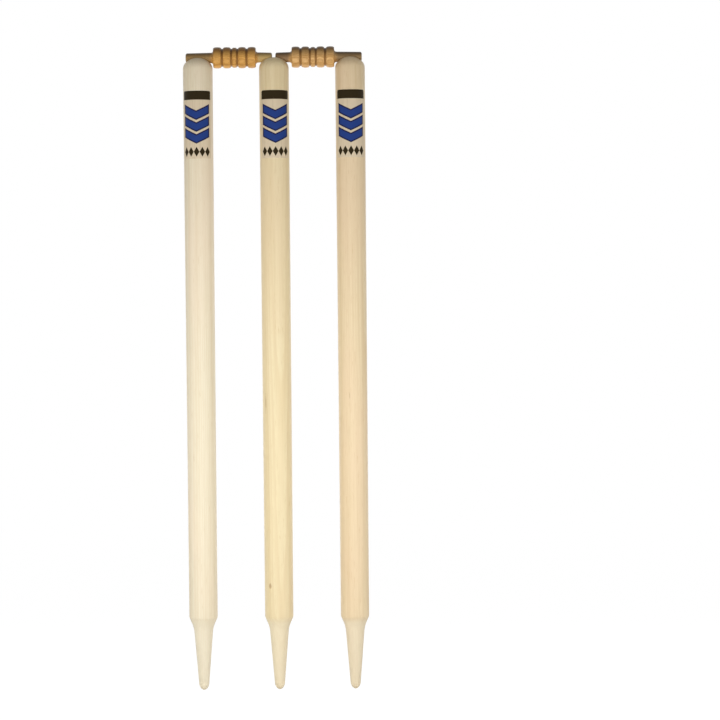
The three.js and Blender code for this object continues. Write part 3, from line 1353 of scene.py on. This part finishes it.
@dataclass
class Studio:
    """The pale floor, the soft light all round, the low lamps and the camera."""

    floor_half: float = 60.0
    floor_gap: float = 0.2 * MM  # under the tips of the spikes
    white: float = 0.9
    seen_share: float = 0.15  # how much of its own lit paint the floor shows
    seen_glow: float = 0.95
    near: float = 0.7  # from here on the floor fades to plain white
    far: float = 2.4
    level_light: float = 0.93  # from the horizon
    above_light: float = 0.2  # from straight above
    dim_height: float = 0.8  # the sine of the angle above which only that much is left
    lamps: tuple[Lamp, ...] = (
        Lamp("front", (-0.03, -0.6, 0.22), 1.2, 0.58, 3.45),
        Lamp("left", (-0.6, -0.3, 0.22), 0.4, 0.4, 0.45),
        Lamp("right", (0.6, -0.3, 0.22), 0.4, 0.4, 0.45),
        Lamp("back", (0.03, 0.6, 0.26), 1.2, 0.58, 1.7),
    )
    lamp_target: Point = (0.0, 0.0, 0.24)
    camera_distance: float = 3.2
    camera_target: Point = (0.1058, 0.0, 0.3258)
    camera_dip: float = math.radians(1.3)
    camera_roll: float = math.radians(0.53)
    half_view: float = 0.4576  # half the picture's width at the camera's target

    def build(self) -> None:
        """Sets up the whole studio."""
        self._floor()
        self._world()
        for lamp in self.lamps:
            lamp.hang(self.lamp_target)
        self._camera()
        bpy.context.scene.view_settings.view_transform = "Standard"

    def _floor(self) -> None:
        """Lays the floor under the tips of the spikes."""
        half = self.floor_half
        z = CAD_BOX[0].z - self.floor_gap
        corners = [(-half, -half, z), (half, -half, z), (half, half, z), (-half, half, z)]
        mesh = bpy.data.meshes.new("studio_floor")
        mesh.from_pydata(corners, [], [range(len(corners))])
        mesh.materials.append(self._floor_paint())
        linked_object("studio_floor", mesh)

    def _floor_paint(self) -> bpy.types.Material:
        """Makes the floor's matte paint, which is seen lifted to white under a pale shadow.

        Returns:
            The material.
        """
        paint = Coating("studio_floor")
        lit = paint.matte(self.white * self.seen_share)
        lifted = paint.add("ShaderNodeAddShader", lit, paint.glow(self.seen_glow)).outputs[0]
        distance = paint.length(paint.place((0.0, 0.0, CAD_BOX[0].z)))
        seen = paint.mix(paint.fade(distance, self.near, self.far), lifted, paint.glow(1.0))
        surface = paint.mix(paint.backdrop_ray(), paint.matte(self.white), seen)
        paint.add("ShaderNodeOutputMaterial", surface)
        return paint.material

    def _world(self) -> None:
        """Surrounds the part with light that fades upwards, on a white background."""
        world = bpy.data.worlds.new("studio_world")
        bpy.context.scene.world = world
        world.use_nodes = True
        bench = NodeBench(world.node_tree)
        bench.tree.nodes.clear()
        direction = bench.add("ShaderNodeTexCoord").outputs["Generated"]
        upright = bench.add("ShaderNodeSeparateXYZ", direction).outputs["Z"]
        height = bench.fade(upright, 0.0, self.dim_height)
        rise = self.above_light - self.level_light
        light = bench.math("MULTIPLY_ADD", height, rise, self.level_light)
        to_white = bench.math("SUBTRACT", 1.0, light)
        strength = bench.math("MULTIPLY_ADD", bench.backdrop_ray(), to_white, light)
        background = bench.add("ShaderNodeBackground", (1.0, 1.0, 1.0, 1.0), strength)
        bench.add("ShaderNodeOutputWorld", background.outputs[0])

    def _camera(self) -> None:
        """Sets the camera at the photograph's angle."""
        data = bpy.data.cameras.new("camera")
        data.lens = data.sensor_width / 2.0 * self.camera_distance / self.half_view
        camera = linked_object("camera", data)
        back = Vector((0.0, -math.cos(self.camera_dip), math.sin(self.camera_dip)))
        camera.location = Vector(self.camera_target) + back * self.camera_distance
        level = (-back).to_track_quat("-Z", "Y").to_matrix()
        roll = Euler((0.0, 0.0, -self.camera_roll)).to_matrix()
        camera.rotation_euler = (level @ roll).to_euler()
        bpy.context.scene.camera = camera


ASH = {
    Side.LEFT: AshFinish(
        name="creamy_ash",
        pale=(0.815, 0.738, 0.562),
        late=(0.77, 0.648, 0.452),
        blush=(0.84, 0.715, 0.54),
        heart=(0.062, 0.021),
        lean=(0.004, -0.006),
        seed=3.0,
        flecks=(Fleck((-9.0 * MM, -16.3 * MM, 205.0 * MM), (1.2 * MM, 3.0 * MM, 9.0 * MM), 0.2),),
    ),
    Side.MIDDLE: AshFinish(
        name="yellow_ash",
        pale=(0.817, 0.696, 0.443),
        late=(0.745, 0.592, 0.34),
        blush=(0.805, 0.654, 0.415),
        heart=(-0.018, 0.058),
        lean=(0.003, 0.011),
        seed=17.0,
        flecks=(
            Fleck((-10.5 * MM, -14.6 * MM, 40.5 * MM), (2.6 * MM, 4.0 * MM, 4.6 * MM), 0.6),
            Fleck((-14.0 * MM, -11.8 * MM, 272.0 * MM), (1.5 * MM, 3.0 * MM, 15.0 * MM), 0.4),
        ),
    ),
    Side.RIGHT: AshFinish(
        name="tan_ash",
        pale=(0.795, 0.653, 0.423),
        late=(0.72, 0.547, 0.321),
        blush=(0.785, 0.612, 0.397),
        heart=(-0.055, 0.026),
        lean=(-0.007, 0.004),
        seed=29.0,
        flecks=(Fleck((-4.2 * MM, -17.8 * MM, 281.0 * MM), (0.9 * MM, 3.0 * MM, 7.0 * MM), 0.3),),
    ),
}


def bail_finishes(form: BailForm) -> dict[Side, BailFinish]:
    """Gives each bail its stain: the left one deeper, the right one more tan.

    Args:
        form: the bails' sizes, which say where the coves lie.

    Returns:
        The finish of each bail.
    """
    sizes = {
        "cove_radius": form.cove_radius,
        "bead_radius": form.barrel_radius,
        "spigot_radius": form.root_radius + form.root_fillet,
        "barrel_half": form.barrel / 2.0,
    }
    return {
        Side.LEFT: BailFinish(
            name="honey_bail_wood",
            pale=(0.82, 0.45, 0.115),
            late=(0.53, 0.25, 0.055),
            scorch=(0.25, 0.11, 0.018),
            # spigot tones, partly painted shade
            long_spigot=(0.3, 0.2, 0.085),
            short_spigot=(0.58, 0.43, 0.17),
            seed=5.0,
            turned=1.0,
            **sizes,
        ),
        Side.RIGHT: BailFinish(
            name="tan_bail_wood",
            pale=(0.865, 0.535, 0.215),
            late=(0.52, 0.265, 0.075),
            scorch=(0.27, 0.125, 0.025),
            # spigot tones, partly painted shade
            long_spigot=(0.225, 0.15, 0.07),
            short_spigot=(0.18, 0.11, 0.06),
            # a deeper painted shade on this bail's upper side
            upper_shade=(0.24, 0.225, 0.19),
            seed=13.0,
            turned=-1.0,
            **sizes,
        ),
    }


def main() -> None:
    """Builds the studio and every piece of the wicket."""
    logging.basicConfig(level=logging.INFO, format="%(message)s")
    Studio().build()
    for side in Side:
        Stump(side, ASH[side]).build()
    film = LabelFinish()
    film_material = film.material()
    for side in Side:
        Label(side, film_material, film).build()
    form = BailForm()
    turning = BailTurning(form)
    for side, finish in bail_finishes(form).items():
        Bail(side, turning, finish).build()


if __name__ == "__main__":
    main()
